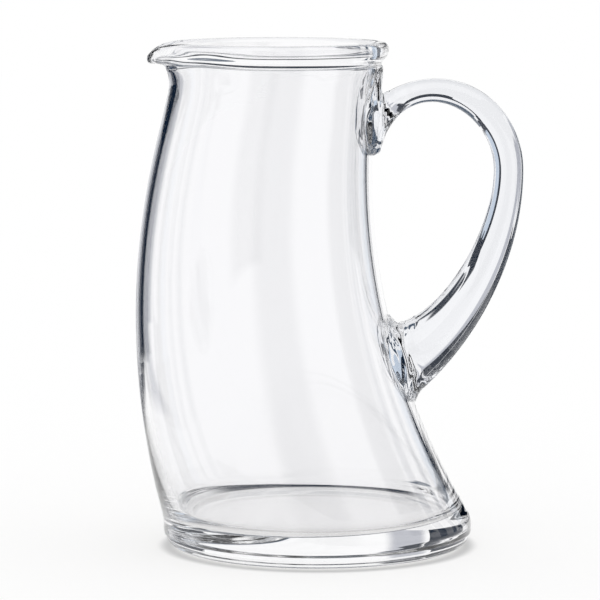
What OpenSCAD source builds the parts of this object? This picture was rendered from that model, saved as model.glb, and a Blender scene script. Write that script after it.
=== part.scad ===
// Bent pitcher of clear hand-made glass. A thick round base carries a blown wall that leans
// towards the pouring side and comes upright again at the neck. The fire-polished rim bead is
// drawn out into a pouring lip, and a solid drawn handle is fused to the wall at both ends.
// The origin is the centre of the foot on the table. +Z is up, the lip points to -X and the
// handle to +X. All lengths are millimetres.

/* [Base] */
// Diameter of the base, where the wall stands on it
base_d = 140.8; // [125:0.2:155]
// Thickness of the solid base, from the table to the inside floor
base_h = 13; // [10:0.5:18]
// Radius of the rounded lower edge
foot_round = 8; // [2:0.5:9]

/* [Body] */
// Outside diameter at the lower station
lower_d = 126.4; // [115:0.2:138]
// Rise from the inside floor to the lower station
lower_rise = 47; // [38:1:56]
// Outside diameter at the waist
waist_d = 109.6; // [100:0.2:118]
// Rise from the lower station to the waist
waist_rise = 70; // [58:1:80]
// Outside diameter of the neck
neck_d = 94.8; // [86:0.2:102]
// Rise from the waist to the neck
neck_rise = 75; // [62:1:88]
// Outside diameter where the rim begins
mouth_d = 95.2; // [86:0.2:104]
// Rise from the neck to the rim
throat_rise = 13.5; // [10:0.5:18]

/* [Bend] */
// Radius of the arc that the body's middle line follows
bend_r = 310; // [270:5:400]
// Height at which the middle line leans furthest towards the lip
bend_z = 140; // [125:1:155]
// Height above which the middle line runs straight
straight_z = 187; // [172:1:200]

/* [Wall] */
// Wall thickness at mid height
wall_t = 3.1; // [2:0.1:5]
// Extra wall thickness at the inside floor
heel_extra = 4.2; // [0:0.1:7]
// Height over which that extra thickness fades out
heel_fade = 25; // [12:1:45]
// Extra wall thickness at the rim
throat_extra = 0.5; // [0:0.1:1.5]
// Radius of the inside corner between floor and wall
floor_fillet = 7; // [3:0.5:10]

/* [Rim] */
// Height of the flared rim
rim_h = 11.5; // [9:0.5:15]
// Width of the rounded bead
bead_w = 6.6; // [4.6:0.1:7.5]
// Height of the rounded bead
bead_h = 7.2; // [4.6:0.1:8]
// How far the bead's middle stands outside the wall's outer face
bead_out = 0.1; // [-0.6:0.1:1]

/* [Pouring lip] */
// How far the lip reaches beyond the bead circle
lip_reach = 8.4; // [4:0.1:12]
// How far the lip's tip dips below the rim
lip_drop = 4; // [0:0.1:4.5]
// Bead diameter at the lip's tip
lip_bead_d = 4.6; // [3.6:0.1:6]
// Half angle over which the lip is drawn out
lip_half_angle = 20; // [14:1:28]
// How far the rim is pinched in beside the lip
lip_pinch = 1.6; // [0:0.1:3]
// Angle from the lip to the pinch
lip_pinch_angle = 48; // [40:1:60]
// Angle that the lip takes up on the rim
lip_sector = 80; // [60:10:120]

/* [Handle] */
// Room for the fingers between the wall and the handle, at the grip
finger_gap = 55; // [45:1:65]
// Height of the grip, where the handle stands furthest out
grip_z = 171.5; // [160:0.5:180]
// Thickness of the handle at the grip, in its own plane
grip_t = 13.6; // [10:0.1:18]
// Width of the handle at the grip
grip_w = 15; // [11:0.5:22]
// Width of the handle at its upper arch
arch_w = 14; // [10:0.5:20]
// Drop from the rim's top to the handle's upper edge at the wall
upper_root_drop = 23.5; // [20:0.5:30]
// Height of the upper root along the wall
upper_root_h = 26; // [20:0.5:30]
// Width of the handle at its upper root
upper_root_w = 24; // [16:0.5:30]
// Height of the handle's lower edge at the wall
lower_root_z = 70; // [60:0.5:80]
// Height of the lower root along the wall
lower_root_h = 32; // [24:0.5:36]
// Width of the handle at its lower root
lower_root_w = 30; // [22:0.5:36]
// How far both roots stand off the wall before their skirts
root_stand = 3.5; // [2:0.1:5]

/* [Fused skirts] */
// Length over which a skirt spreads from its root into the wall
skirt_len = 16; // [14:0.5:20]
// Width of the upper skirt at its end
upper_skirt_w = 56; // [44:1:62]
// Width of the lower skirt at its end
lower_skirt_w = 48; // [40:1:60]

/* [Hidden] */

glass = [0.86, 0.91, 0.94, 0.45];
glass_thick = [0.74, 0.82, 0.88, 0.6];

// Facet counts: steps round the body and round half the handle's side of it, up the wall,
// round the inside corner and in the sections
base_steps = 180;
round_steps = 72;
side_steps = 10;
wall_steps = 21;
fillet_steps = 5;
flare_steps = 5;
bead_steps = 12;
lip_steps = 32;
strap_points = 24;
arch_steps = 14;
fall_steps = 16;
pad_steps = 8;
skirt_steps = 6;

// Heights and radii of the stations that the wall's outline passes through
lower_z = base_h + lower_rise;
waist_z = lower_z + waist_rise;
neck_z = waist_z + neck_rise;
rim_z = neck_z + throat_rise;
body_h = rim_z + rim_h;
station_z = [base_h, lower_z, waist_z, neck_z, rim_z];
station_r = [base_d / 2, lower_d / 2, waist_d / 2, neck_d / 2, mouth_d / 2];
last_station = len(station_z) - 1;

// Angles round the bead at which the flare outside and the wall inside run into it, on the
// plain rim and at the lip, counted from outwards
rim_under = -45;
lip_under = -90;
rim_over = 180;
lip_over = 115;
// Share of the lip's half angle over which its tip dips
tip_share = 0.55;

// Shares of the spans that shape the handle's two edge curves: pull along x and z where an
// edge leaves its root, and pull along z where it reaches the grip
outer_arch_pull = [0.475, 0.52, 0.94];
inner_arch_pull = [0.18, 1.08, 0.9];
outer_fall_pull = [0.545, 0.22, 0.4];
inner_fall_pull = [0.49, 0.07, 0.37];
// Directions in which the roots' edges run into the wall
upper_skirt_dir = [[-0.8, 0.6], [-1, -0.15]];
lower_skirt_dir = [[-0.8, -0.6], [-0.97, -0.24]];
// The outer edge runs later than the inner one by these powers, so that sections stay square
arch_lag = 1.6;
fall_lag = 1.18;
// Shares of the two edge curves at which the fused pads end
upper_pad_end = 0.3;
lower_pad_start = 0.8;
// Squareness of the strap's and the bead's rounded sections, where 2 is an ellipse
strap_power = 2.3;
bead_power = 2.5;

// Middle line of the body: an arc that starts over the base's centre, then a straight neck
function bend_x(z) = bend_r - sqrt(pow(bend_r, 2) - pow(z - bend_z, 2));
function bend_slope(z) = (z - bend_z) / sqrt(pow(bend_r, 2) - pow(z - bend_z, 2));
function axis_x(z) =
    bend_x(min(z, straight_z)) - bend_x(base_h) + bend_slope(straight_z) * max(0, z - straight_z);

// Smooth outline through the stations
function station_slope(i) =
    let (a = max(i - 1, 0), b = min(i + 1, last_station))
    (station_r[b] - station_r[a]) / (station_z[b] - station_z[a]);
function station_below(z) = max([0, for (i = [0 : last_station - 1]) if (z >= station_z[i]) i]);
function hermite(p, q, m, n, t) =
    (2 * pow(t, 3) - 3 * pow(t, 2) + 1) * p + (pow(t, 3) - 2 * pow(t, 2) + t) * m
    + (3 * pow(t, 2) - 2 * pow(t, 3)) * q + (pow(t, 3) - pow(t, 2)) * n;
function wall_r(z) =
    let (i = station_below(z), dz = station_z[i + 1] - station_z[i])
    hermite(station_r[i], station_r[i + 1], station_slope(i) * dz, station_slope(i + 1) * dz,
            (z - station_z[i]) / dz);

// Thickness of the wall, and its inner radius with the round corner at the floor
function ease(t) = let (c = min(max(t, 0), 1)) c * c * (3 - 2 * c);
function wall_thickness(z) =
    wall_t + heel_extra * exp((base_h - z) / heel_fade)
    + throat_extra * ease((z - waist_z) / (rim_z - waist_z));
function corner_inset(z) =
    let (rise = min(z - base_h, floor_fillet))
    floor_fillet - sqrt(pow(floor_fillet, 2) - pow(floor_fillet - rise, 2));
function inner_r(z) = wall_r(z) - wall_thickness(z) - corner_inset(z);
function wall_x(z) = axis_x(z) + wall_r(z);

// Heights of the wall's rings: close together in the inside corner, even above it
corner_z = [for (i = [0 : fillet_steps]) base_h + floor_fillet * (1 - cos(90 * i / fillet_steps))];
upper_z = [for (i = [1 : wall_steps])
    base_h + floor_fillet + (rim_z - base_h - floor_fillet) * i / wall_steps];
ring_z = concat(corner_z, upper_z);

function ring(z, r, angles) = [for (a = angles) [axis_x(z) + r * cos(a), r * sin(a), z]];
full_turn = [for (i = [0 : round_steps - 1]) 360 * i / round_steps];

// Solid between loops of points: rows are closed loops, and the rows either close on
// themselves or end in flat caps
module skin(rows, closed = false) {
    n = len(rows[0]);
    last = len(rows) - 1;
    sides = [for (i = [0 : closed ? last : last - 1]) for (k = [0 : n - 1])
        let (a = i * n, b = ((i + 1) % len(rows)) * n, k2 = (k + 1) % n)
        each [[a + k, b + k2, a + k2], [a + k, b + k, b + k2]]];
    caps = closed ? [] : [[for (k = [0 : n - 1]) k], [for (k = [n - 1 : -1 : 0]) last * n + k]];
    polyhedron([for (row = rows) each row], concat(sides, caps), convexity = 4);
}

// Reach of a rounded square at an angle, where a power of 2 is a circle
function round_reach(a, power) = pow(pow(abs(cos(a)), power) + pow(abs(sin(a)), power), -1 / power);

// Section of the rim at one angle: up the flare, round the bead and down the inside
function bead_point(middle, half, a) =
    middle + round_reach(a, bead_power) * [half[0] * cos(a), half[1] * sin(a)];
function bell(a, half) = exp(-pow(a / half, 2));
function from_lip(a) = 180 - abs((a + 540) % 360 - 180);
function bezier3(p, q, r, t) = pow(1 - t, 2) * p + 2 * t * (1 - t) * q + pow(t, 2) * r;
function rim_section(a) =
    let (
        d = from_lip(a),
        lobe = bell(d, lip_half_angle),
        pinch = lip_pinch * bell(d - lip_pinch_angle, lip_half_angle),
        half = [bead_w + (lip_bead_d - bead_w) * lobe, bead_h + (lip_bead_d - bead_h) * lobe] / 2,
        middle = [wall_r(rim_z) + bead_out + lip_reach * lobe - pinch,
                  body_h - bead_h / 2 - lip_drop * bell(d, lip_half_angle * tip_share)],
        under = rim_under + (lip_under - rim_under) * lobe,
        over = rim_over + (lip_over - rim_over) * lobe,
        foot = [wall_r(rim_z), rim_z],
        start = bead_point(middle, half, under),
        start_bend = [foot[0], max(rim_z, start[1] + (start[0] - foot[0]) * cos(under) / sin(under))],
        end = bead_point(middle, half, over),
        heel = [inner_r(rim_z), rim_z],
        end_bend = [heel[0], (end[1] + heel[1]) / 2]
    )
    concat(
        [for (i = [0 : flare_steps - 1]) bezier3(foot, start_bend, start, i / flare_steps)],
        [for (i = [0 : bead_steps]) bead_point(middle, half, under + (over - under) * i / bead_steps)],
        [for (i = [1 : flare_steps]) bezier3(end, end_bend, heel, i / flare_steps)]);
function rim_row(a) =
    [for (p = rim_section(a)) [axis_x(rim_z) + p[0] * cos(a), p[0] * sin(a), p[1]]];

// Edge curves of the handle, in the plane of the pitcher: a cubic from each root to the grip
function bezier4(p, t) =
    pow(1 - t, 3) * p[0] + 3 * t * pow(1 - t, 2) * p[1] + 3 * t * t * (1 - t) * p[2] + pow(t, 3) * p[3];
function root_point(z) = [wall_x(z) + root_stand, z];
grip_x = wall_x(grip_z) + finger_gap;
upper_outer = root_point(body_h - upper_root_drop);
upper_inner = root_point(body_h - upper_root_drop - upper_root_h);
lower_outer = root_point(lower_root_z);
lower_inner = root_point(lower_root_z + lower_root_h);
arch_rise = upper_outer[1] - grip_z;
function edge(root, grip, pull, rise) = [
    root,
    root + [(grip[0] - root[0]) * pull[0], rise * pull[1]],
    grip + [0, rise * pull[2] * sign(root[1] - grip[1])],
    grip];
outer_grip = [grip_x + grip_t, grip_z];
inner_grip = [grip_x, grip_z];
outer_arch = edge(upper_outer, outer_grip, outer_arch_pull, arch_rise);
inner_arch = edge(upper_inner, inner_grip, inner_arch_pull, arch_rise);
outer_fall = edge(lower_outer, outer_grip, outer_fall_pull, grip_z - lower_outer[1]);
inner_fall = edge(lower_inner, inner_grip, inner_fall_pull, grip_z - lower_inner[1]);

// Width of the handle along the arch and along the fall to its lower root
function arch_width(u) =
    arch_w + (grip_w - arch_w) * u + (upper_root_w - arch_w) * pow(max(0, 1 - u / upper_pad_end), 2);
function fall_width(u) = grip_w + (lower_root_w - grip_w) * u * u;

// Rounded section between an outer and an inner edge point
function strap_row(o, i, w) =
    let (mid = (o + i) / 2, half = (o - i) / 2)
    [for (k = [0 : strap_points - 1])
        let (a = 360 * k / strap_points,
             reach = round_reach(a, strap_power),
             p = mid + half * reach * cos(a))
        [p[0], w / 2 * reach * sin(a), p[1]]];
function arch_row(u) =
    strap_row(bezier4(outer_arch, pow(u, arch_lag)), bezier4(inner_arch, u), arch_width(u));
function fall_row(u) =
    strap_row(bezier4(outer_fall, 1 - pow(u, fall_lag)), bezier4(inner_fall, 1 - u), fall_width(u));
function skirt_row(o, i, dir, root_w, end_w, t) =
    strap_row(o + dir[0] * skirt_len * t, i + dir[1] * skirt_len * t, root_w + (end_w - root_w) * t);

// Solid body of the wall on the handle's side, which the pads' skirts are fused to
module wall_core() {
    side = [for (i = [-side_steps : side_steps]) 360 * i / round_steps];
    skin([for (z = ring_z) concat([[axis_x(z), 0, z]], ring(z, wall_r(z), side))]);
}

module base() {
    color(glass_thick)
    rotate_extrude($fn = base_steps) {
        square([base_d / 2 - foot_round, base_h]);
        translate([0, foot_round])
            square([base_d / 2, base_h - foot_round]);
        translate([base_d / 2 - foot_round, foot_round])
            intersection() {
                circle(foot_round, $fn = round_steps);
                translate([0, -foot_round])
                    square(foot_round);
            }
    }
}

module body_wall() {
    outer = [for (z = ring_z) ring(z, wall_r(z), full_turn)];
    inner = [for (i = [len(ring_z) - 1 : -1 : 0]) ring(ring_z[i], inner_r(ring_z[i]), full_turn)];
    color(glass)
    skin(concat(outer, inner), closed = true);
}

module rim_bead() {
    half_turn = 180 - lip_sector / 2;
    steps = round(2 * half_turn * round_steps / 360);
    color(glass)
    skin([for (i = [0 : steps]) rim_row(-half_turn + 2 * half_turn * i / steps)]);
}

module pouring_lip() {
    color(glass)
    skin([for (i = [0 : lip_steps]) rim_row(180 - lip_sector / 2 + lip_sector * i / lip_steps)]);
}

module upper_handle_pad() {
    skirt = [for (i = [skirt_steps : -1 : 1])
        skirt_row(upper_outer, upper_inner, upper_skirt_dir, upper_root_w, upper_skirt_w, i / skirt_steps)];
    strap = [for (i = [0 : pad_steps]) arch_row(upper_pad_end * i / pad_steps)];
    color(glass_thick)
    difference() {
        skin(concat(skirt, strap));
        wall_core();
    }
}

module handle_bow() {
    arch = [for (i = [0 : arch_steps]) arch_row(upper_pad_end + (1 - upper_pad_end) * i / arch_steps)];
    fall = [for (i = [1 : fall_steps]) fall_row(lower_pad_start * i / fall_steps)];
    color(glass_thick)
    skin(concat(arch, fall));
}

module lower_handle_pad() {
    strap = [for (i = [0 : pad_steps])
        fall_row(lower_pad_start + (1 - lower_pad_start) * i / pad_steps)];
    skirt = [for (i = [1 : skirt_steps])
        skirt_row(lower_outer, lower_inner, lower_skirt_dir, lower_root_w, lower_skirt_w, i / skirt_steps)];
    color(glass_thick)
    difference() {
        skin(concat(strap, skirt));
        wall_core();
    }
}

base();
body_wall();
rim_bead();
pouring_lip();
upper_handle_pad();
handle_bow();
lower_handle_pad();
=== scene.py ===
# Looks of a bent pitcher of clear, hand-made glass. Each region of the packed model is replaced
# by a fine mesh worked out from the same sizes, so that the glass is smooth enough to see through.
# Lengths are metres, +Z is up, the lip points to -X and the handle to +X.
import math

import bpy
import numpy as np
from bpy.props import FloatProperty, FloatVectorProperty, PointerProperty
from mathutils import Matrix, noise
from mathutils.geometry import delaunay_2d_cdt


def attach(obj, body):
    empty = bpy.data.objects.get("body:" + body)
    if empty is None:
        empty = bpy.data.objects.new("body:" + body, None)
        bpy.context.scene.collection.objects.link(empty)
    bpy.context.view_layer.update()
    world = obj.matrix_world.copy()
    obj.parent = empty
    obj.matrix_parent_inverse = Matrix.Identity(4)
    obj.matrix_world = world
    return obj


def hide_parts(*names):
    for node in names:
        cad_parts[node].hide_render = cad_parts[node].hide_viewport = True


bl_info = {
    "name": "Bent glass pitcher",
    "version": (1, 0, 0),
    "blender": (4, 5, 0),
    "location": "View3D > Sidebar > Pitcher",
    "description": "Makes the glass of a bent pitcher round its packed model, and a stage for it",
    "category": "Object",
}

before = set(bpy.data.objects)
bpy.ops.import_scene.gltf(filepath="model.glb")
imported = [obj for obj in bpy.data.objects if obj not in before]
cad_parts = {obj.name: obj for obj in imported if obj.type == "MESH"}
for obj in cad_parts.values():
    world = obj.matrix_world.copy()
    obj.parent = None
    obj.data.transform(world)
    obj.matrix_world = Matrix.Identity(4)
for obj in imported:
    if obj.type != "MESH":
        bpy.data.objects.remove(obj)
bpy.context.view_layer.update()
BODY = "root"
MM = 0.001

# Mesh fineness: columns round the body, points round the handle, rows in each stretch of glass
# and columns of a card
COLUMNS = 288
STRAP_POINTS = 144
FOOT_ROWS = 10
ROUND_ROWS = 18
SIDE_ROWS = 10
WALL_ROWS = 116
FLARE_ROWS = 12
BEAD_ROWS = 28
CORNER_ROWS = 18
FILLET_ROWS = 16
PAD_ROWS = 36
ARCH_ROWS = 110
FALL_ROWS = 126
CARD_COLUMNS = 25
# Rows from the wall that pressing creases, how many more on the pads' upper sides, and the rows
# over which the creases rise from the wall and die away along the strap
UPPER_CREASED_ROWS = 9
LOWER_CREASED_ROWS = 20
FOLDED_ROWS = 20
CREASE_RISE_ROWS = 2
CREASE_END_ROWS = 4

# Material slots of every piece, and the materials with their tints
GLASS = 0
JOIN = 1
JOIN_NAME = "fused_glass_join"
GLASS_OF = {
    "body_glass": ("blown_soda_lime_glass", "body_tint"),
    "handle_glass": ("drawn_soda_lime_glass", "handle_tint"),
}

# Smallest divisor, which keeps a length of zero from breaking a sum
TINY = 1e-12


def linear(hex_colour):
    """Linear RGBA of an sRGB hex colour."""
    values = [int(hex_colour[i:i + 2], 16) / 255 for i in (1, 3, 5)]
    return [v / 12.92 if v <= 0.04045 else ((v + 0.055) / 1.055) ** 2.4 for v in values] + [1.0]


def length(name, description, millimetres):
    """A size that a user may change."""
    return FloatProperty(name=name, description=description, default=millimetres * MM,
                         unit="LENGTH")


def share(name, description, value):
    """A plain number that a user may change."""
    return FloatProperty(name=name, description=description, default=value)


def angle(name, description, degrees):
    """An angle that a user may change."""
    return FloatProperty(name=name, description=description, default=math.radians(degrees),
                         subtype="ANGLE", unit="ROTATION")


def colour(name, description, hex_colour):
    """A colour that a user may change."""
    return FloatVectorProperty(name=name, description=description, subtype="COLOR", size=4,
                               min=0, max=1, default=linear(hex_colour))


class PitcherBodySizes(bpy.types.PropertyGroup):
    """Sizes of the base and the wall."""

    base_d: length("Base diameter", "Diameter of the base", 140.8)
    base_h: length("Base height", "Thickness of the solid base", 13)
    foot_round: length("Foot radius", "Radius of the rounded lower edge", 8)
    heel_round: length("Heel blend", "Half height of the soft corners at the base and the rim", 4)
    lower_d: length("Lower diameter", "Outside diameter at the lower station", 126.4)
    lower_z: length("Lower height", "Height of the lower station", 60)
    waist_d: length("Waist diameter", "Outside diameter at the waist", 109.6)
    waist_z: length("Waist height", "Height of the waist", 130)
    neck_d: length("Neck diameter", "Outside diameter of the neck", 94.8)
    neck_z: length("Neck height", "Height of the neck", 205)
    mouth_d: length("Mouth diameter", "Outside diameter where the rim begins", 95.2)
    rim_z: length("Rim start", "Height at which the rim begins", 218.5)
    bend_r: length("Bend radius", "Radius of the arc that the body's middle line follows", 310)
    bend_z: length("Bend height", "Height at which the body leans furthest to the lip", 140)
    straight_z: length("Straight neck", "Height above which the middle line runs straight", 187)
    wall_t: length("Wall thickness", "Wall thickness at mid height", 3.1)
    heel_extra: length("Heel thickness", "Extra wall thickness at the inside floor", 4.2)
    heel_fade: length("Heel fade", "Height over which the extra thickness fades out", 25)
    throat_extra: length("Throat thickness", "Extra wall thickness at the rim", 0.5)
    floor_fillet: length("Floor corner", "Radius of the inside corner at the floor", 7)


class PitcherRimSizes(bpy.types.PropertyGroup):
    """Sizes of the rim and the pouring lip."""

    rim_h: length("Rim height", "Height of the flared rim", 11.5)
    bead_w: length("Bead width", "Width of the rounded bead", 6.6)
    bead_h: length("Bead height", "Height of the rounded bead", 7.2)
    bead_power: share("Bead squareness", "Squareness of the bead, where 2 is an ellipse", 2.5)
    bead_out: length("Bead offset", "How far the bead's middle stands outside the wall", 0.1)
    lip_reach: length("Lip reach", "How far the lip reaches beyond the bead circle", 8.4)
    lip_drop: length("Lip drop", "How far the lip's tip dips below the rim", 4.0)
    lip_bead_d: length("Lip bead", "Bead diameter at the lip's tip", 4.6)
    lip_half: angle("Lip half angle", "Half angle over which the lip is drawn out", 20)
    lip_tip: angle("Lip tip angle", "Half angle over which the lip's tip dips", 11)
    lip_pinch: length("Lip pinch", "How far the rim is pinched in beside the lip", 1.6)
    lip_pinch_at: angle("Pinch angle", "Angle from the lip to the pinch", 48)
    lip_flare: length("Lip flare", "How far the wall bends out under the lip", 2.5)
    lip_flare_h: length("Lip flare height", "Height of that bend below the rim", 9)
    lip_sector: angle("Lip sector", "Angle that the lip takes up on the rim", 80)
    rim_under: angle("Rim underside", "Angle round the bead where the flare meets it", -45)
    rim_over: angle("Rim inside", "Angle round the bead where the inside meets it", 180)
    lip_under: angle("Lip underside", "The same where the lip's underside meets it", -90)
    lip_over: angle("Lip inside", "The same where the lip's inside meets it", 115)


class PitcherHandleSizes(bpy.types.PropertyGroup):
    """Sizes of the handle and its fused ends."""

    finger_gap: length("Finger gap", "Room between the wall and the grip", 55)
    grip_z: length("Grip height", "Height where the handle stands furthest out", 171.5)
    grip_t: length("Grip thickness", "Thickness of the handle at the grip", 13.6)
    grip_w: length("Grip width", "Width of the handle at the grip", 15)
    arch_w: length("Arch width", "Width of the handle at its upper arch", 14)
    upper_z: length("Upper root top", "Height of the handle's upper edge at the wall", 206.5)
    upper_h: length("Upper root height", "Height of the upper root along the wall", 26)
    upper_w: length("Upper root width", "Width of the handle at its upper root", 24)
    lower_z: length("Lower root foot", "Height of the handle's lower edge at the wall", 70)
    lower_h: length("Lower root height", "Height of the lower root along the wall", 32)
    lower_w: length("Lower root width", "Width of the handle at its lower root", 30)
    root_stand: length("Root stand-off", "How far both roots stand off the wall", 3.5)
    upper_side: length("Upper side spread", "How far the upper pad runs out beside its root", 10)
    upper_top: length("Upper top spread", "How far the upper pad runs up over its root", 13)
    upper_under: length("Upper foot spread", "How far the upper pad runs down under its root", 2)
    lower_side: length("Lower side spread", "How far the lower pad runs out beside its root", 8)
    lower_top: length("Lower top spread", "How far the lower pad runs up over its root", 4)
    lower_under: length("Lower foot spread", "How far the lower pad runs down under its root", 4)
    fillet_pull: share("Fillet pull", "How far the pads run on along the strap", 0.8)
    edge_pull: share("Edge pull", "How roundly the pads' edges roll down to the wall", 0.5)
    section_power: share("Strap squareness", "Squareness of the strap, where 2 is an ellipse", 2.1)
    drawn_lines: share("Drawn lines", "Depth of the strap's lines as a share of its radius", 0.005)
    crease_depth: length("Crease depth", "Depth of the creases that pressing leaves", 0.7)
    crease_w: length("Crease width", "Width of those creases", 3.2)
    crease_h: length("Crease length", "Length of those creases up the wall", 16)


class PitcherGlass(bpy.types.PropertyGroup):
    """Colours and finish of the glass."""

    body_tint: colour("Body tint", "Colour that the blown wall and base let through", "#FCFCFD")
    handle_tint: colour("Handle tint", "Colour that the drawn handle lets through", "#F5F6F9")
    ior: share("Refraction", "Index of refraction of soda-lime glass", 1.52)
    wave: length("Wave size", "Size of the soft waves that blowing leaves in the surface", 38)
    wave_depth: length("Wave depth", "Depth of those waves", 0.02)


class PitcherStage(bpy.types.PropertyGroup):
    """Floor, cards that paint reflections and shade into the glass, and camera."""

    floor_colour: colour("Floor", "Colour of the table", "#8F9194")
    # The cards glow in these colours and only the glass shows them: painted reflections and shade
    painted_dark_colour: colour("Dark card", "Colour of the cards that draw the glass's edges", "#121F30")
    painted_grey_colour: colour("Grey card", "Colour of the cards that shade the left wall", "#BDBFC6")
    painted_blue_colour: colour("Blue card", "Colour of the card that tints the handle", "#CBD7E5")
    painted_navy_colour: colour("Dark cloth", "Colour of the cloth that hangs over the back", "#33475C")
    # The contact shade is painted: a ring of weaker glow on the table round the foot's edge
    contact_w: length("Contact width", "Width of the shade on each side of the foot's edge", 6)
    contact_shade: share("Contact shade", "How much less the table shines at the foot's edge", 0.4)
    floor_size: length("Floor size", "Side of the floor", 8000)
    # The dark cloth is a glowing sheet over the back: a painted dark reflection in the glass
    painted_ceiling_z: length("Cloth height", "Height of the dark cloth over the table", 700)
    painted_ceiling_w: length("Cloth width", "Width of the dark cloth", 1800)
    painted_ceiling_l: length("Cloth length", "How far the dark cloth reaches behind the pitcher", 1000)
    camera_x: length("Camera across", "Camera's place across the pitcher", -7.98)
    camera_distance: length("Camera distance", "Camera's distance in front of the pitcher", 1711)
    camera_height: length("Camera height", "Camera's height over the table", 305.6)
    camera_pitch: angle("Camera pitch", "How far the camera looks down", 6.44)
    focal_length: FloatProperty(name="Lens", description="Focal length on the usual 36 mm sensor",
                                default=226.8, unit="CAMERA")


def hermite(p, q, m, n, t):
    """Cubic from p to q that leaves along m and arrives along n."""
    return ((2 * t ** 3 - 3 * t ** 2 + 1) * p + (t ** 3 - 2 * t ** 2 + t) * m
            + (3 * t ** 2 - 2 * t ** 3) * q + (t ** 3 - t ** 2) * n)


def smooth(t):
    """Ease from 0 to 1."""
    c = np.clip(t, 0, 1)
    return c * c * (3 - 2 * c)


def bell(a, half):
    """Bump of height 1 round zero."""
    return np.exp(-(a / half) ** 2)


def soft_corner(d, half, slope):
    """Height to add at distance d from a corner that turns by slope, to round it."""
    inside = slope * ((d + half) ** 2 / (4 * half) - np.maximum(d, 0))
    return np.where(np.abs(d) < half, inside, 0.0)


class BodyOutline:
    """Middle line, outer radius and inner radius of the body at any height."""

    def __init__(self, size):
        self.size = size
        self.z = np.array([size.base_h, size.lower_z, size.waist_z, size.neck_z, size.rim_z])
        self.r = np.array([size.base_d, size.lower_d, size.waist_d, size.neck_d, size.mouth_d]) / 2
        station = np.arange(len(self.z))
        below = np.maximum(station - 1, 0)
        above = np.minimum(station + 1, station[-1])
        self.slope = (self.r[above] - self.r[below]) / (self.z[above] - self.z[below])

    def bend(self, z):
        """How far the arc of the middle line lies from its furthest lean."""
        s = self.size
        return s.bend_r - np.sqrt(s.bend_r ** 2 - (z - s.bend_z) ** 2)

    def lean(self, z):
        """Slope of that arc."""
        s = self.size
        return (z - s.bend_z) / math.sqrt(s.bend_r ** 2 - (z - s.bend_z) ** 2)

    def axis(self, z):
        """The middle line: an arc, then a straight neck that turns upright at the rim."""
        s = self.size
        z = np.asarray(z, float)
        neck = np.clip(z, s.straight_z, s.rim_z) - s.straight_z
        arc = self.bend(np.clip(z, s.base_h, s.straight_z)) - self.bend(s.base_h)
        lean = self.lean(s.straight_z)
        return arc + lean * neck + soft_corner(z - s.rim_z, s.heel_round, -lean)

    def outer(self, z):
        """The outer radius: a smooth curve through the stations."""
        z = np.clip(np.asarray(z, float), self.z[0], self.z[-1])
        i = np.clip(np.searchsorted(self.z, z, side="right") - 1, 0, len(self.z) - 2)
        rise = self.z[i + 1] - self.z[i]
        return hermite(self.r[i], self.r[i + 1], self.slope[i] * rise, self.slope[i + 1] * rise,
                       (z - self.z[i]) / rise)

    def inner(self, z):
        """The inner radius, with the round corner at the floor."""
        s = self.size
        z = np.asarray(z, float)
        thickness = (s.wall_t + s.heel_extra * np.exp((s.base_h - z) / s.heel_fade)
                     + s.throat_extra * smooth((z - s.waist_z) / (s.rim_z - s.waist_z)))
        drop = s.floor_fillet - np.clip(z - s.base_h, 0, s.floor_fillet)
        corner = np.sqrt(s.floor_fillet ** 2 - drop ** 2)
        return self.outer(z) - thickness - s.floor_fillet + corner

    def outside(self, z, a):
        """Point of the outer skin at height z and angle a, with the soft corner over the base."""
        s = self.size
        x = self.axis(z) + soft_corner(z - s.base_h, s.heel_round, self.lean(s.base_h))
        r = self.outer(z) + soft_corner(z - s.base_h, s.heel_round, self.slope[0])
        return polar(x, r, z, a)

    def outside_normal(self, z, a):
        """Outward direction of the outer skin."""
        step = 0.01 * MM
        up = self.outside(z + step, a) - self.outside(z - step, a)
        turn = step / self.size.neck_d
        round_ = self.outside(z, a + turn) - self.outside(z, a - turn)
        return unit(np.cross(round_, up))


def unit(v):
    """Vectors scaled to length 1."""
    return v / np.maximum(np.linalg.norm(v, axis=-1, keepdims=True), TINY)


def polar(axis, r, z, a):
    """Ring or rings of points about an upright axis."""
    return np.stack(np.broadcast_arrays(axis + r * np.cos(a), r * np.sin(a), z), axis=-1)


def bezier(p, q, r, t):
    """Quadratic curve."""
    return (1 - t) ** 2 * p + 2 * t * (1 - t) * q + t ** 2 * r


def squareness(turn, power):
    """Reach of a rounded square at an angle, where a power of 2 is a circle."""
    return (np.abs(np.cos(turn)) ** power + np.abs(np.sin(turn)) ** power) ** (-1 / power)


def lip_flare(size, rim, z, a):
    """How far the wall at height z and angle a bends out towards the lip."""
    rise = np.clip(1 - (size.rim_z - z) / rim.lip_flare_h, 0, 1)
    return rim.lip_flare * rise ** 2 * bell(np.abs(np.pi - np.abs(a)), rim.lip_half)


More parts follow.
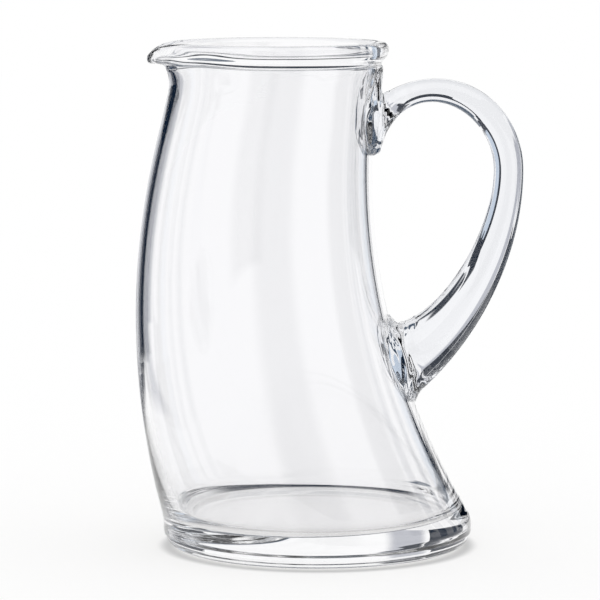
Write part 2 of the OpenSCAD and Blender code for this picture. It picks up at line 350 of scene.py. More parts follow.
def rim_rows(body, rim, a):
    """Radius and height of the rim's rows: up the flare, round the bead and down the inside."""
    s = body.size
    from_lip = np.abs(np.pi - np.abs(a))
    lobe = bell(from_lip, rim.lip_half)
    pinch = rim.lip_pinch * bell(from_lip - rim.lip_pinch_at, rim.lip_half)
    half_w = rim.bead_w / 2 + (rim.lip_bead_d - rim.bead_w) / 2 * lobe
    half_h = rim.bead_h / 2 + (rim.lip_bead_d - rim.bead_h) / 2 * lobe
    bead_x = s.mouth_d / 2 + rim.bead_out + rim.lip_reach * lobe - pinch
    bead_z = s.rim_z + rim.rim_h - rim.bead_h / 2 - rim.lip_drop * bell(from_lip, rim.lip_tip)
    under = rim.rim_under + (rim.lip_under - rim.rim_under) * lobe
    over = rim.rim_over + (rim.lip_over - rim.rim_over) * lobe
    flare = lip_flare(s, rim, s.rim_z, a)
    foot_r, foot_z = s.mouth_d / 2 + flare, s.rim_z
    heel_r, heel_z = float(body.inner(s.rim_z)) + flare, s.rim_z

    def bead(turn):
        """Point of the bead at an angle counted from outwards."""
        reach = squareness(turn, rim.bead_power)
        return bead_x + half_w * reach * np.cos(turn), bead_z + half_h * reach * np.sin(turn)

    (start_r, start_z), (end_r, end_z) = bead(under), bead(over)
    bend_z = np.maximum(foot_z, start_z + (start_r - foot_r) / np.tan(under))
    bend_r = foot_r + 2 * flare / rim.lip_flare_h * (bend_z - foot_z)
    rows = []
    for t in np.linspace(0, 1, FLARE_ROWS, endpoint=False):
        rows.append((bezier(foot_r, bend_r, start_r, t), bezier(foot_z, bend_z, start_z, t)))
    for t in np.linspace(0, 1, BEAD_ROWS):
        rows.append(bead(under + (over - under) * t))
    middle_z = (end_z + heel_z) / 2
    for t in np.linspace(0, 1, FLARE_ROWS + 1)[1:]:
        rows.append((bezier(end_r, heel_r, heel_r, t), bezier(end_z, middle_z, heel_z, t)))
    return rows


class Grid:
    """Rows of points on the glass, with their outward directions."""

    def rows(self, start, stop=None):
        """Points and directions of some rows."""
        return self.points[start:stop], self.normals[start:stop]


class Skin(Grid):
    """The body's whole glass skin as rows of points, from the foot's middle to the floor's."""

    def __init__(self, body, rim):
        s = body.size
        a = np.linspace(-np.pi, np.pi, COLUMNS, endpoint=False)
        self.angles = a
        rows = []
        foot_r = s.base_d / 2 - s.foot_round
        for r in np.linspace(0, foot_r, FOOT_ROWS, endpoint=False)[1:]:
            rows.append(polar(0, r, 0.0, a))
        for c in np.linspace(-np.pi / 2, 0, ROUND_ROWS, endpoint=False):
            z = s.foot_round * (1 + np.sin(c))
            rows.append(polar(0, foot_r + s.foot_round * np.cos(c), z, a))
        for z in np.linspace(s.foot_round, s.base_h, SIDE_ROWS, endpoint=False):
            rows.append(body.outside(z, a))
        self.base_top = len(rows)
        heel = np.linspace(s.base_h, s.base_h + s.heel_round, SIDE_ROWS, endpoint=False)
        climb = np.linspace(s.base_h + s.heel_round, s.rim_z, WALL_ROWS, endpoint=False)
        self.wall_z = np.concatenate([heel, climb, [s.rim_z]])
        for z in self.wall_z[:-1]:
            flare = lip_flare(s, rim, z, a)
            rows.append(body.outside(z, a) + polar(0, flare, 0, a))
        self.rim_foot = len(rows)
        for r, z in rim_rows(body, rim, a):
            rows.append(polar(body.axis(z), r, z, a))
        self.rim_heel = len(rows) - 1
        for z in np.linspace(s.rim_z, s.base_h + s.floor_fillet, WALL_ROWS, endpoint=False)[1:]:
            rows.append(polar(body.axis(z), body.inner(z) + lip_flare(s, rim, z, a), z, a))
        for c in np.linspace(0, np.pi / 2, CORNER_ROWS + 1):
            z = s.base_h + s.floor_fillet * (1 - math.sin(c))
            rows.append(polar(body.axis(z), body.inner(z), z, a))
        self.floor_edge = len(rows) - 1
        floor_r = float(body.inner(s.base_h))
        for r in np.linspace(floor_r, 0, FOOT_ROWS, endpoint=False)[1:]:
            rows.append(polar(0, r, s.base_h, a))
        self.points = np.stack(rows)
        self.normals = skin_normals(self.points)


def skin_normals(points):
    """Outward directions of a grid of points that closes on itself along its rows. The spacing of
    the rows is taken a quarter of the way round."""
    side = points[:, points.shape[1] // 4]
    run = np.concatenate([[0], np.cumsum(np.linalg.norm(np.diff(side, axis=0), axis=1))])
    along = np.gradient(points, run, axis=0)
    round_ = np.roll(points, -1, axis=1) - np.roll(points, 1, axis=1)
    return unit(np.cross(round_, along))


def put(context, name, data):
    """Puts an object with its mesh or camera into the scene."""
    made = bpy.data.objects.new(name, data)
    context.scene.collection.objects.link(made)
    return made


class Piece:
    """Points, normals and faces of one piece of glass, which become an object."""

    def __init__(self, name):
        self.name = name
        self.points, self.normals = [], []
        self.faces, self.slots = [], []

    def add(self, points, normals):
        """Takes in a grid of points and gives their numbers back in the same form."""
        first = len(self.points)
        self.points.extend(points.reshape(-1, 3))
        self.normals.extend(normals.reshape(-1, 3))
        return np.arange(first, len(self.points)).reshape(points.shape[:-1])

    def face(self, ids, slot):
        """One face."""
        self.faces.append([int(i) for i in ids])
        self.slots.append(slot)

    def quads(self, ids, slot, closed=True, leave_out=None):
        """Faces between the rows of a grid, apart from the cells in leave_out."""
        rows, columns = ids.shape
        for i in range(rows - 1):
            for j in range(columns if closed else columns - 1):
                if leave_out is None or not leave_out[i, j]:
                    k = (j + 1) % columns
                    self.face((ids[i, j], ids[i, k], ids[i + 1, k], ids[i + 1, j]), slot)

    def fan(self, point, normal, ring, slot):
        """Triangles from one middle point to a ring."""
        middle = self.add(np.array([point]), np.array([normal]))[0]
        for j, first in enumerate(ring):
            self.face((middle, first, ring[(j + 1) % len(ring)]), slot)

    def make(self, context, glass, join):
        """The object, smooth, with its normals from the whole pitcher's skin."""
        mesh = bpy.data.meshes.new(self.name)
        mesh.from_pydata([tuple(p) for p in self.points], [], self.faces)
        mesh.materials.append(glass)
        mesh.materials.append(join)
        mesh.polygons.foreach_set("material_index", self.slots)
        mesh.polygons.foreach_set("use_smooth", [slot == GLASS for slot in self.slots])
        if mesh.validate(verbose=True):
            raise RuntimeError(f"{self.name} has faces that can't stand")
        mesh.normals_split_custom_set_from_vertices([tuple(n) for n in self.normals])
        mesh.update()
        return put(context, self.name, mesh)


# Shares of the spans that shape the handle's edge curves: pull along x and z where an edge
# leaves its root, and pull along z where it reaches the grip
OUTER_ARCH_PULL = (0.475, 0.52, 0.94)
INNER_ARCH_PULL = (0.18, 1.08, 0.9)
OUTER_FALL_PULL = (0.545, 0.22, 0.4)
INNER_FALL_PULL = (0.49, 0.07, 0.37)
# The outer edge runs later than the inner one by these powers, so that sections stay square
ARCH_LAG = 1.6
FALL_LAG = 1.18
# Shares of the two edge curves at which the fused pads end
UPPER_PAD_END = 0.3
LOWER_PAD_START = 0.8
# Step along a curve that gives its direction at the root
ROOT_STEP = 0.05
# How many lines drawing leaves round the strap, in two sets, and how far the second set is turned
DRAWN_COUNTS = (9, 14)
DRAWN_TURN = 1
# Shares of a pad's section, towards its upper side, where the folds begin and where they are full
FOLD_START = 0.4
FOLD_FULL = 0.9


def cubic(p, t):
    """Cubic curve that four control points draw."""
    return ((1 - t) ** 3 * p[0] + 3 * t * (1 - t) ** 2 * p[1] + 3 * t * t * (1 - t) * p[2]
            + t ** 3 * p[3])


def edge(root, grip, pull, rise):
    """Control points of an edge of the handle, from its root to the grip."""
    return (root, root + np.array([(grip[0] - root[0]) * pull[0], rise * pull[1]]),
            grip + np.array([0, rise * pull[2] * np.sign(root[1] - grip[1])]), grip)


class Handle(Grid):
    """The handle's glass skin as rows of points, from its upper footprint to its lower one."""

    def __init__(self, body, size):
        self.body, self.size = body, size
        turn = np.linspace(0, 2 * np.pi, STRAP_POINTS, endpoint=False)
        first, second = DRAWN_COUNTS
        lines = np.cos(first * turn) + np.cos(second * turn + DRAWN_TURN)
        reach = squareness(turn, size.section_power) * (1 + size.drawn_lines * lines)
        self.out = reach * np.cos(turn)
        self.side = -reach * np.sin(turn)
        inner_grip = np.array([float(self.wall_x(size.grip_z)) + size.finger_gap, size.grip_z])
        outer_grip = inner_grip + np.array([size.grip_t, 0])
        upper_top, upper_foot = self.root(size.upper_z), self.root(size.upper_z - size.upper_h)
        lower_foot, lower_top = self.root(size.lower_z), self.root(size.lower_z + size.lower_h)
        arch_rise = upper_top[1] - size.grip_z
        self.outer_arch = edge(upper_top, outer_grip, OUTER_ARCH_PULL, arch_rise)
        self.inner_arch = edge(upper_foot, inner_grip, INNER_ARCH_PULL, arch_rise)
        outer_rise, inner_rise = size.grip_z - lower_foot[1], size.grip_z - lower_top[1]
        self.outer_fall = edge(lower_foot, outer_grip, OUTER_FALL_PULL, outer_rise)
        self.inner_fall = edge(lower_top, inner_grip, INNER_FALL_PULL, inner_rise)
        upper_spread = (size.upper_side, size.upper_top, size.upper_under)
        lower_spread = (size.lower_side, size.lower_under, size.lower_top)
        upper, self.upper_loop = self.fillet(
            self.arch_row(0), self.arch_row(ROOT_STEP), upper_spread)
        lower, self.lower_loop = self.fillet(
            self.fall_row(1), self.fall_row(1 - ROOT_STEP), lower_spread)
        pad = np.linspace(0, UPPER_PAD_END, PAD_ROWS, endpoint=False)
        arch = np.linspace(UPPER_PAD_END, 1, ARCH_ROWS, endpoint=False)
        fall = np.linspace(0, LOWER_PAD_START, FALL_ROWS, endpoint=False)
        end = np.linspace(LOWER_PAD_START, 1, PAD_ROWS + 1)
        over = [self.arch_row(u) for u in (*pad, *arch)]
        down = [self.fall_row(u) for u in (*fall, *end)]
        self.bow_start = FILLET_ROWS + PAD_ROWS
        self.bow_end = self.bow_start + ARCH_ROWS + FALL_ROWS
        self.points = np.stack(upper[::-1] + over + down + lower)
        self.points += skin_normals(self.points) * self.creases()[..., None]
        self.normals = skin_normals(self.points)

    def wall_x(self, z):
        """How far out the wall stands on the handle's side."""
        return self.body.axis(z) + self.body.outer(z)

    def root(self, z):
        """Point of a root's edge, a little off the wall."""
        return np.array([float(self.wall_x(z)) + self.size.root_stand, z])

    def strap(self, outer, inner, width):
        """Rounded section between an outer and an inner edge point."""
        middle, half = (outer + inner) / 2, (outer - inner) / 2
        return np.stack([middle[0] + half[0] * self.out, width / 2 * self.side,
                         middle[1] + half[1] * self.out], axis=-1)

    def arch_row(self, u):
        """Section at a share of the way from the upper root to the grip."""
        s = self.size
        flare = max(0, 1 - u / UPPER_PAD_END) ** 2
        width = s.arch_w + (s.grip_w - s.arch_w) * u + (s.upper_w - s.arch_w) * flare
        return self.strap(cubic(self.outer_arch, u ** ARCH_LAG), cubic(self.inner_arch, u), width)

    def fall_row(self, u):
        """Section at a share of the way from the grip to the lower root."""
        s = self.size
        width = s.grip_w + (s.lower_w - s.grip_w) * u * u
        outer = cubic(self.outer_fall, 1 - u ** FALL_LAG)
        return self.strap(outer, cubic(self.inner_fall, 1 - u), width)

    def fillet(self, root, next_row, spread):
        """Rows from a root section to its footprint, where a rolled edge meets the wall."""
        side, beyond_outer, beyond_inner = spread
        middle = root.mean(axis=0)
        up = np.sign(root[0, 2] - middle[2])
        rise = root[:, 2] - middle[2]
        run = np.where(self.out > 0, beyond_outer, beyond_inner)
        z = middle[2] + rise + up * run * self.out
        across = root[:, 1] + side * self.side
        a = across / self.body.outer(z)
        foot = self.body.outside(z, a)
        gap = np.linalg.norm(foot - root, axis=1, keepdims=True)
        leave = unit(root - next_row) * gap * self.size.fillet_pull
        arrive = -self.body.outside_normal(z, a) * gap * self.size.edge_pull
        shares = np.linspace(0, 1, FILLET_ROWS + 1)[1:]
        rows = [hermite(root, foot, leave, arrive, t) for t in shares]
        return rows, np.stack([a, z], axis=-1)

    def creases(self):
        """Height of the uneven, upright creases that pressing the soft pads to the wall leaves."""
        s = self.size
        row = np.arange(len(self.points))[:, None]
        upper = row < len(row) / 2
        from_wall = np.where(upper, row, row[::-1])
        upwards = np.where(upper, self.out, -self.out)
        folded = smooth((upwards - FOLD_START) / (FOLD_FULL - FOLD_START))
        creased = np.where(upper, UPPER_CREASED_ROWS, LOWER_CREASED_ROWS) + FOLDED_ROWS * folded
        ending = smooth((creased - from_wall) / CREASE_END_ROWS)
        fade = smooth(from_wall / CREASE_RISE_ROWS) * ending
        height = np.zeros(fade.shape)
        for i, k in np.argwhere(fade > 0):
            x, y, z = self.points[i, k]
            place = (x / s.crease_w, y / s.crease_w, z / s.crease_h)
            height[i, k] = fade[i, k] * s.crease_depth * noise.noise(place)
        return height


def inside_loop(points, loop):
    """Which flat points lie inside a closed loop."""
    x, y = points[:, :1], points[:, 1:]
    x0, y0 = loop[:, 0], loop[:, 1]
    x1, y1 = np.roll(x0, -1), np.roll(y0, -1)
    crosses = (y0 > y) != (y1 > y)
    at = x0 + (y - y0) * (x1 - x0) / np.where(y1 == y0, TINY, y1 - y0)
    return ((crosses & (x < at)).sum(axis=1) % 2).astype(bool)


def loop_distance(points, loop):
    """Distance from flat points to a closed loop."""
    start, run = loop, np.roll(loop, -1, axis=0) - loop
    t = ((points[:, None] - start) * run).sum(axis=2) / (run ** 2).sum(axis=1)
    nearest = start + np.clip(t, 0, 1)[..., None] * run
    return np.linalg.norm(points[:, None] - nearest, axis=2).min(axis=1)


class Footprints:
    """The stretch of the wall's outer skin that the handle is fused to, meshed round both pads."""

    # Columns on each side of the handle's middle, the room left under the lower pad, the room that
    # the grid keeps from a pad's edge, and the distance in millimetres at which points are one
    half_columns = 44
    margin = 8 * MM
    clear = 0.45 * MM
    same_mm = 1e-6

    def __init__(self, body, skin, handle):
        self.loops = (handle.upper_loop, handle.lower_loop)
        lowest = min(loop[:, 1].min() for loop in self.loops) - self.margin
        middle = COLUMNS // 2
        self.rows = slice(int(np.searchsorted(skin.wall_z, lowest)), len(skin.wall_z))
        self.columns = slice(middle - self.half_columns, middle + self.half_columns + 1)
        a, z = skin.angles[self.columns], skin.wall_z[self.rows]
        grid = np.stack(np.meshgrid(a, z), axis=-1).reshape(-1, 2)
        flat_scale = np.array([body.size.neck_d / 2, 1]) / MM
        keep = np.ones(len(grid), bool)
        for loop in self.loops:
            keep &= loop_distance(grid * flat_scale, loop * flat_scale) > self.clear / MM
        border = np.zeros((len(z), len(a)), bool)
        border[[0, -1]] = border[:, [0, -1]] = True
        self.keep = keep | border.reshape(-1)
        flat = np.concatenate([grid[self.keep], *self.loops])
        edges, first = [], int(self.keep.sum())
        for loop in self.loops:
            ids = np.arange(first, first + len(loop))
            edges += [(int(i), int(k)) for i, k in zip(ids, np.roll(ids, -1))]
            first += len(loop)
        verts, _, faces, origin, _, _ = delaunay_2d_cdt(
            [tuple(p) for p in flat * flat_scale], edges, [], 0, self.same_mm)
        if len(verts) != len(flat):
            raise RuntimeError("a pad's footprint crosses itself")
        self.flat = flat
        self.triangles = np.array([[origin[v][0] for v in face] for face in faces])
        centres = flat[self.triangles].mean(axis=1)
        self.pads = [inside_loop(centres, loop) for loop in self.loops]
        self.points = body.outside(flat[:, 1], flat[:, 0])
        self.normals = body.outside_normal(flat[:, 1], flat[:, 0])


def add_node(tree, kind, inputs=(), **settings):
    """Adds a node: settings are its own, and inputs are values to set or sockets to link."""
    new = tree.nodes.new(kind)
    for key, value in settings.items():
        setattr(new, key, value)
    for key, value in dict(inputs).items():
        if isinstance(value, bpy.types.NodeSocket):
            tree.links.new(value, new.inputs[key])
        else:
            new.inputs[key].default_value = value
    return new


def new_material(name):
    """An empty material with its node tree."""
    material = bpy.data.materials.new(name)
    material.use_nodes = True
    material.node_tree.nodes.clear()
    return material, material.node_tree


def soda_lime_glass(name, tint, glass):
    """Glass of the body or of the handle."""
    # Soda-lime glass, blown or drawn and polished by the fire: clear, with a sharp gloss and no
    # grain, and never quite flat, so that what is seen through it wavers a little
    material, tree = new_material(name)
    place = add_node(tree, "ShaderNodeTexCoord")
    waves = add_node(tree, "ShaderNodeTexNoise",
                     {"Vector": place.outputs["Object"], "Scale": 1 / glass.wave, "Detail": 1.0})
    bump = add_node(tree, "ShaderNodeBump", {"Height": waves.outputs["Fac"], "Strength": 1.0,
                                             "Distance": glass.wave_depth})
    shader = add_node(tree, "ShaderNodeBsdfPrincipled",
                      {"Base Color": tint, "Roughness": 0.0, "IOR": glass.ior,
                       "Transmission Weight": 1.0, "Normal": bump.outputs["Normal"]})
    add_node(tree, "ShaderNodeOutputMaterial", {"Surface": shader.outputs["BSDF"]})
    return material


def fused_join(name):
    """The face inside the glass where two regions meet."""
    # Glass fused to glass while hot: it has no surface of its own, so nothing shows there
    material, tree = new_material(name)
    shader = add_node(tree, "ShaderNodeBsdfTransparent")
    add_node(tree, "ShaderNodeOutputMaterial", {"Surface": shader.outputs["BSDF"]})
    return material


def finish_piece(context, piece, node, slot):
    """Makes the object of one region, in its glass, in the place of its packed node."""
    glass, known = context.scene.pitcher_glass, bpy.data.materials
    name, tint = GLASS_OF[slot]
    material = known.get(name) or soda_lime_glass(name, getattr(glass, tint), glass)
    join = known.get(JOIN_NAME) or fused_join(JOIN_NAME)
    made = piece.make(context, material, join)
    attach(made, BODY)
    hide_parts(node)


def shapes(context):
    """The body's outline, its skin and the handle, from the scene's sizes."""
    scene = context.scene
    body = BodyOutline(scene.pitcher_body)
    skin = Skin(body, scene.pitcher_rim)
    handle = Handle(body, scene.pitcher_handle)
    return body, skin, handle


class PITCHER_OT_base(bpy.types.Operator):
    """Make the thick base with its flat foot"""

    bl_idname = "pitcher.base"
    bl_label = "Base"

    def execute(self, context):
        body, skin, _ = shapes(context)
        piece = Piece("base_glass")
        under = piece.add(*skin.rows(0, skin.base_top + 1))
        piece.quads(under, GLASS)
        floor = piece.add(*skin.rows(skin.floor_edge))
        piece.quads(floor, GLASS)
        piece.fan((0, 0, 0), (0, 0, -1), under[0][::-1], GLASS)
        piece.fan((0, 0, body.size.base_h), (0, 0, 1), floor[-1], GLASS)
        piece.quads(np.stack([under[-1], floor[0]]), JOIN)
        finish_piece(context, piece, "base", "body_glass")
        return {"FINISHED"}


class PITCHER_OT_wall(bpy.types.Operator):
    """Make the blown wall, with the places where the handle is fused to it"""

    bl_idname = "pitcher.wall"
    bl_label = "Body wall"

    def execute(self, context):
        body, skin, handle = shapes(context)
        prints = Footprints(body, skin, handle)
        piece = Piece("body_wall_glass")
        outer = piece.add(*skin.rows(skin.base_top, skin.rim_foot + 1))
        patched = np.zeros(outer.shape, bool)
        patched[prints.rows, prints.columns][:-1, :-1] = True
        piece.quads(outer, GLASS, leave_out=patched)
        kept = outer[prints.rows, prints.columns].reshape(-1)[prints.keep]
        loops = piece.add(prints.points[len(kept):], prints.normals[len(kept):])
        ids = np.concatenate([kept, loops])
        inside = prints.pads[0] | prints.pads[1]
        for corners, fused in zip(ids[prints.triangles], inside):
            piece.face(corners, JOIN if fused else GLASS)
        inner = piece.add(*skin.rows(skin.rim_heel, skin.floor_edge + 1))
        piece.quads(inner, GLASS)
        piece.quads(np.stack([inner[-1], outer[0]]), JOIN)
        piece.quads(np.stack([outer[-1], inner[0]]), JOIN)
        finish_piece(context, piece, "body_wall", "body_glass")
        return {"FINISHED"}


def rim_piece(context, name, node, columns):
    """The rim over some columns, closed where it meets the wall and the rest of the rim."""
    _, skin, _ = shapes(context)
    points, normals = skin.rows(skin.rim_foot, skin.rim_heel + 1)
    piece = Piece(name)
    ids = piece.add(points[:, columns], normals[:, columns])
    piece.quads(ids, GLASS, closed=False)
    piece.quads(np.stack([ids[-1], ids[0]]), JOIN, closed=False)
    piece.face(ids[:, 0], JOIN)
    piece.face(ids[::-1, -1], JOIN)
    finish_piece(context, piece, node, "body_glass")


def lip_columns(context):
    """How many columns the lip takes on each side of its tip."""
    return round(context.scene.pitcher_rim.lip_sector / 2 / (2 * math.pi) * COLUMNS)


class PITCHER_OT_rim(bpy.types.Operator):
    """Make the fire-polished bead of the rim"""

    bl_idname = "pitcher.rim"
    bl_label = "Rim bead"

    def execute(self, context):
        half = lip_columns(context)
        columns = np.arange(half, COLUMNS - half + 1)
        rim_piece(context, "rim_bead_glass", "rim_bead", columns)
        return {"FINISHED"}


class PITCHER_OT_lip(bpy.types.Operator):
    """Make the pouring lip"""

    bl_idname = "pitcher.lip"
    bl_label = "Pouring lip"

    def execute(self, context):
        half = lip_columns(context)
        columns = np.arange(-half, half + 1) % COLUMNS
        rim_piece(context, "pouring_lip_glass", "pouring_lip", columns)
        return {"FINISHED"}


class PITCHER_OT_pads(bpy.types.Operator):
    """Make the two pads that fuse the handle to the wall"""

    bl_idname = "pitcher.pads"
    bl_label = "Handle pads"

    def execute(self, context):
        body, skin, handle = shapes(context)
        prints = Footprints(body, skin, handle)
        stretches = {"upper_handle_pad": handle.rows(0, handle.bow_start + 1),
                     "lower_handle_pad": handle.rows(handle.bow_end)}
        for k, (node, rows) in enumerate(stretches.items()):
            piece = Piece(node + "_glass")
            ids = piece.add(*rows)
            piece.quads(ids, GLASS)
            bow_end, wall_end = (ids[-1], ids[0]) if k == 0 else (ids[0], ids[-1])
            piece.face(bow_end[::-1] if k == 0 else bow_end, JOIN)
            triangles = prints.triangles[prints.pads[k]]
            loop_start = len(prints.flat) - STRAP_POINTS * (2 - k)
            inner = np.unique(triangles)
            inner = inner[(inner < loop_start) | (inner >= loop_start + STRAP_POINTS)]
            number = np.full(len(prints.flat), -1)
            number[inner] = piece.add(prints.points[inner], -prints.normals[inner])
            number[loop_start:loop_start + STRAP_POINTS] = wall_end
            for corners in number[triangles]:
                piece.face(corners[::-1], JOIN)
            finish_piece(context, piece, node, "handle_glass")
        return {"FINISHED"}


class PITCHER_OT_bow(bpy.types.Operator):
    """Make the drawn strap of the handle"""

    bl_idname = "pitcher.bow"
    bl_label = "Handle bow"

    def execute(self, context):
        _, _, handle = shapes(context)
        piece = Piece("handle_bow_glass")
        ids = piece.add(*handle.rows(handle.bow_start, handle.bow_end + 1))
        piece.quads(ids, GLASS)
        piece.face(ids[0], JOIN)
        piece.face(ids[-1][::-1], JOIN)
        finish_piece(context, piece, "handle_bow", "handle_glass")
        return {"FINISHED"}


# Heights of the table and of the mats on it, a little under the foot so that no faces coincide
TABLE_Z = -0.3 * MM
MAT_Z = -0.1 * MM
# How far inside the base's edge the painted contact shadow on the table is deepest
CONTACT_IN = 2 * MM
# How far the camera sees, in metres
SIGHT = 100
# How often light may turn on its way: often, because thick glass sends it round inside
LIGHT_TURNS = {"max_bounces": 40, "transmission_bounces": 40, "glossy_bounces": 24,
               "transparent_max_bounces": 64}


def seen_directly(tree):
    """1 for what the camera sees, directly or through the glass, and 0 for light on the floor."""
    path = add_node(tree, "ShaderNodeLightPath")
    glass = add_node(tree, "ShaderNodeMath", {0: path.outputs["Is Glossy Ray"],
                                              1: path.outputs["Is Transmission Ray"]},
                     operation="MAXIMUM")
    seen = add_node(tree, "ShaderNodeMath", {0: path.outputs["Is Camera Ray"],
                                             1: glass.outputs[0]}, operation="MAXIMUM")
    return seen.outputs[0]


class PITCHER_OT_stage(bpy.types.Operator):
    """Make the floor, the light, the cards of painted reflections in the glass and the camera"""

    bl_idname = "pitcher.stage"
    bl_label = "Stage"

    def execute(self, context):
        stage = context.scene.pitcher_stage
        self.floor(context, stage)
        self.light(context)
        self.cards(context, stage)
        self.camera(context, stage)
        for name, count in LIGHT_TURNS.items():
            setattr(context.scene.cycles, name, count)
        return {"FINISHED"}

    def floor(self, context, stage):
        """A pale table that keeps the pitcher's shadow and is white where nothing shades it."""
        # Board painted matt: pale, even and without gloss. Where it is seen, a glow adds what its
        # paint lacks to white, and less of it round the foot where the pitcher stands: a painted
        # contact shadow
        material, tree = new_material("matt_board_with_painted_contact_shadow")
        matt = add_node(tree, "ShaderNodeBsdfDiffuse", {"Color": stage.floor_colour})
        rest = [1 - c for c in stage.floor_colour[:3]] + [1]
        place = add_node(tree, "ShaderNodeNewGeometry")
        away = add_node(tree, "ShaderNodeVectorMath", {0: place.outputs["Position"]},
                        operation="LENGTH")
        # Painted contact shadow: a soft ring round the foot's edge where the glow is weaker
        foot = context.scene.pitcher_body.base_d / 2 - CONTACT_IN
        off = add_node(tree, "ShaderNodeMath", {0: away.outputs["Value"], 1: foot},
                       operation="SUBTRACT")
        beside = add_node(tree, "ShaderNodeMath", {0: off.outputs[0]}, operation="ABSOLUTE")
        shade = add_node(tree, "ShaderNodeMapRange",
                         {"Value": beside.outputs[0], "From Max": stage.contact_w,
                          "To Min": 1 - stage.contact_shade, "To Max": 1.0},
                         interpolation_type="SMOOTHSTEP")
        lit = add_node(tree, "ShaderNodeMath",
                       {0: seen_directly(tree), 1: shade.outputs["Result"]}, operation="MULTIPLY")
        glow = add_node(tree, "ShaderNodeEmission", {"Color": rest, "Strength": lit.outputs[0]})
        both = add_node(tree, "ShaderNodeAddShader", {0: matt.outputs[0], 1: glow.outputs[0]})
        add_node(tree, "ShaderNodeOutputMaterial", {"Surface": both.outputs[0]})
        half = stage.floor_size / 2
        mesh = bpy.data.meshes.new("floor")
        corners = [(-half, -half), (half, -half), (half, half), (-half, half)]
        mesh.from_pydata([(x, y, TABLE_Z) for x, y in corners], [], [(0, 1, 2, 3)])
        mesh.materials.append(material)
        floor = put(context, "floor", mesh)

    def light(self, context):
        """White light from all round."""
        world = bpy.data.worlds.new("white_tent")
        world.use_nodes = True
        tree = world.node_tree
        tree.nodes.clear()
        light = add_node(tree, "ShaderNodeBackground", {"Color": (1, 1, 1, 1), "Strength": 1.0})
        add_node(tree, "ShaderNodeOutputWorld", {"Surface": light.outputs[0]})
        context.scene.world = world

    # Material of each colour of the painted reflections and shade that hang or lie round the
    # pitcher
    sheets = {
        "painted_dark_colour": "painted_dark_reflection_and_shadow",
        "painted_grey_colour": "painted_grey_shade",
        "painted_blue_colour": "painted_blue_reflection",
        "painted_navy_colour": "painted_navy_reflection",
    }
    # The cards are glowing sheets that only the glass shows: painted dark edges, grey shade and
    # blue
    # Where each card stands: its colour, the angles that it spans, counted from the handle's side,
    # and the angle over which its upright edges fade, in degrees, then its distance from the
    # pitcher's middle and the heights of its foot and top in millimetres
    standing = {
        "card_left": ("painted_dark_colour", 120.5, 150, 0, 600, 0, 900),
        # Painted grey shade on the left wall, which only the glass shows
        "card_left_pale": ("painted_grey_colour", 105, 121, 4, 810, 0, 900),
        "card_left_high": ("painted_dark_colour", 104, 122, 3, 800, 215, 360),
        "card_right_low": ("painted_dark_colour", 28, 64, 2, 320, 0, 40),
        "card_right": ("painted_dark_colour", 44, 52, 0, 320, 0, 300),
        "card_right_far": ("painted_dark_colour", 44, 57, 0, 800, 0, 250),
        # Painted blue reflection in the handle
        "card_right_pale": ("painted_blue_colour", 33, 44, 0, 320, 0, 300),
        "card_right_navy": ("painted_navy_colour", 21, 26, 0, 320, 0, 300),
        "card_right_edge": ("painted_navy_colour", 4, 12, 0, 320, 0, 300),
        "card_side": ("painted_dark_colour", -24, 4, 6, 320, 60, 240),
        "card_front": ("painted_dark_colour", -104, -56, 14, 320, 0, 240),
        "card_front_top": ("painted_dark_colour", -84, 4, 6, 320, 240, 450),
        "strip_back": ("painted_dark_colour", 30, 150, 0, 320, 264, 296),
        "card_back_top": ("painted_navy_colour", 40, 142, 0, 330, 400, 700),
    }
    # The mats are painted shade on the table, which only the glass shows
    # The mats that lie on the table: as above up to the fading angle, then the radius where the
    # mat starts, the one from which it is full and the one where it ends
    lying = {
        "mat_left_far": ("painted_dark_colour", 120, 143, 0, 530, 600, 602),
        "mat_left": ("painted_dark_colour", 117, 134, 4, 300, 400, 600),
        "mat_left_pale": ("painted_grey_colour", 108, 121, 4, 300, 400, 810),
        # A painted contact shadow behind the foot, seen only through the glass
        "painted_shadow_behind_foot": ("painted_dark_colour", 36, 144, 20, 67, 70, 77),
        "mat_right": ("painted_dark_colour", 46, 56, 3, 120, 150, 300),
        "mat_right_near": ("painted_navy_colour", 55, 65, 3, 105, 115, 140),
    }

    def cards(self, context, stage):
        """Cards, mats and a cloth that only the glass shows, so that its edges draw dark: they
        glow, as painted reflections and shade.
        """
        made = {tone: self.sheet(name, getattr(stage, tone)) for tone, name in self.sheets.items()}
        for name, (tone, start, end, soft, radius, foot, top) in self.standing.items():
            turns, cover = self.spread(start, end, soft)
            rows = [polar(0, radius * MM, z * MM, turns) for z in (foot, top)]
            self.hang(context, name, rows, [cover, cover], made[tone])
        for name, (tone, start, end, soft, near, full, far) in self.lying.items():
            turns, cover = self.spread(start, end, soft)
            rows = [polar(0, r * MM, MAT_Z, turns) for r in (near, full, far)]
            self.hang(context, name, rows, [0 * cover, cover, cover], made[tone])
        # The cloth over the back glows dark: a painted dark reflection over the top of the glass
        front = np.array([(x, 0, stage.painted_ceiling_z) for x in (-stage.painted_ceiling_w / 2, stage.painted_ceiling_w / 2)])
        rows = [front, front + (0, stage.painted_ceiling_l, 0)]
        self.hang(context, "painted_ceiling_over_back", rows, np.ones((2, 2)), made["painted_navy_colour"])

    def spread(self, start, end, soft):
        """Columns of a card from one angle to another, and how far it covers at each of them."""
        turns = np.linspace(start, end, CARD_COLUMNS)
        cover = np.ones(CARD_COLUMNS)
        if soft:
            cover = smooth(np.minimum(turns - start, end - turns) / soft)
        return np.radians(turns), cover

    def sheet(self, name, colour):
        """Glowing material of painted reflections and shade on cards or cloth, whose edges can
        fade.
        """
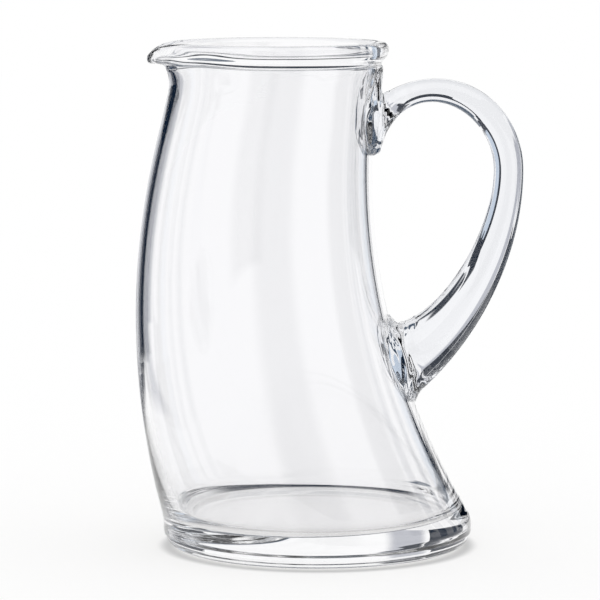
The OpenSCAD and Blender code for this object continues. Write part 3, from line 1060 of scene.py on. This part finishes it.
        # Painted reflections and shade: a sheet that glows in one tone, the same from all sides
        material, tree = new_material(name)
        cover = add_node(tree, "ShaderNodeAttribute", attribute_name="cover")
        even = add_node(tree, "ShaderNodeEmission", {"Color": colour, "Strength": 1.0})
        clear = add_node(tree, "ShaderNodeBsdfTransparent")
        both = add_node(tree, "ShaderNodeMixShader", {0: cover.outputs["Fac"], 1: clear.outputs[0],
                                                      2: even.outputs[0]})
        add_node(tree, "ShaderNodeOutputMaterial", {"Surface": both.outputs[0]})
        return material

    def hang(self, context, name, rows, cover, material):
        """A sheet through rows of points that neither the camera nor the floor sees."""
        count = len(rows[0])
        faces = [(i, i + 1, i + 1 + count, i + count)
                 for i in range((len(rows) - 1) * count) if (i + 1) % count]
        mesh = bpy.data.meshes.new(name)
        mesh.from_pydata([tuple(p) for row in rows for p in row], [], faces)
        mesh.attributes.new("cover", "FLOAT", "POINT").data.foreach_set("value", np.ravel(cover))
        mesh.materials.append(material)
        sheet = put(context, name, mesh)
        sheet.visible_camera = False
        sheet.visible_diffuse = False
        sheet.visible_shadow = False

    def camera(self, context, stage):
        """The camera at the photograph's angle."""
        data = bpy.data.cameras.new("camera")
        data.lens = stage.focal_length
        data.clip_end = SIGHT
        camera = put(context, "camera", data)
        camera.location = (stage.camera_x, -stage.camera_distance, stage.camera_height)
        camera.rotation_euler = (math.pi / 2 - stage.camera_pitch, 0, 0)
        context.scene.camera = camera
        context.scene.view_settings.view_transform = "Standard"


class PITCHER_PT_panel(bpy.types.Panel):
    """Sizes and steps of the pitcher"""

    bl_idname = "PITCHER_PT_panel"
    bl_label = "Glass pitcher"
    bl_space_type = "VIEW_3D"
    bl_region_type = "UI"
    bl_category = "Pitcher"

    def draw(self, context):
        for group in GROUPS:
            box = self.layout.box()
            box.label(text=GROUPS[group].__doc__)
            settings = getattr(context.scene, group)
            for name in settings.__annotations__:
                box.prop(settings, name)
        for operator in OPERATORS:
            self.layout.operator(operator.bl_idname)


GROUPS = {
    "pitcher_body": PitcherBodySizes,
    "pitcher_rim": PitcherRimSizes,
    "pitcher_handle": PitcherHandleSizes,
    "pitcher_glass": PitcherGlass,
    "pitcher_stage": PitcherStage,
}
OPERATORS = (PITCHER_OT_base, PITCHER_OT_wall, PITCHER_OT_rim, PITCHER_OT_lip, PITCHER_OT_pads,
             PITCHER_OT_bow, PITCHER_OT_stage)


def register():
    """Registers the classes and puts their sizes on the scene."""
    for cls in (*GROUPS.values(), *OPERATORS, PITCHER_PT_panel):
        bpy.utils.register_class(cls)
    for name, group in GROUPS.items():
        setattr(bpy.types.Scene, name, PointerProperty(type=group))


def unregister():
    """Takes the sizes off the scene and the classes out again."""
    for name in GROUPS:
        delattr(bpy.types.Scene, name)
    for cls in (PITCHER_PT_panel, *reversed(OPERATORS), *reversed(GROUPS.values())):
        bpy.utils.unregister_class(cls)


def main():
    """Makes the pitcher and its stage."""
    register()
    bpy.ops.pitcher.base()
    bpy.ops.pitcher.wall()
    bpy.ops.pitcher.rim()
    bpy.ops.pitcher.lip()
    bpy.ops.pitcher.pads()
    bpy.ops.pitcher.bow()
    bpy.ops.pitcher.stage()


if __name__ == "__main__":
    main()
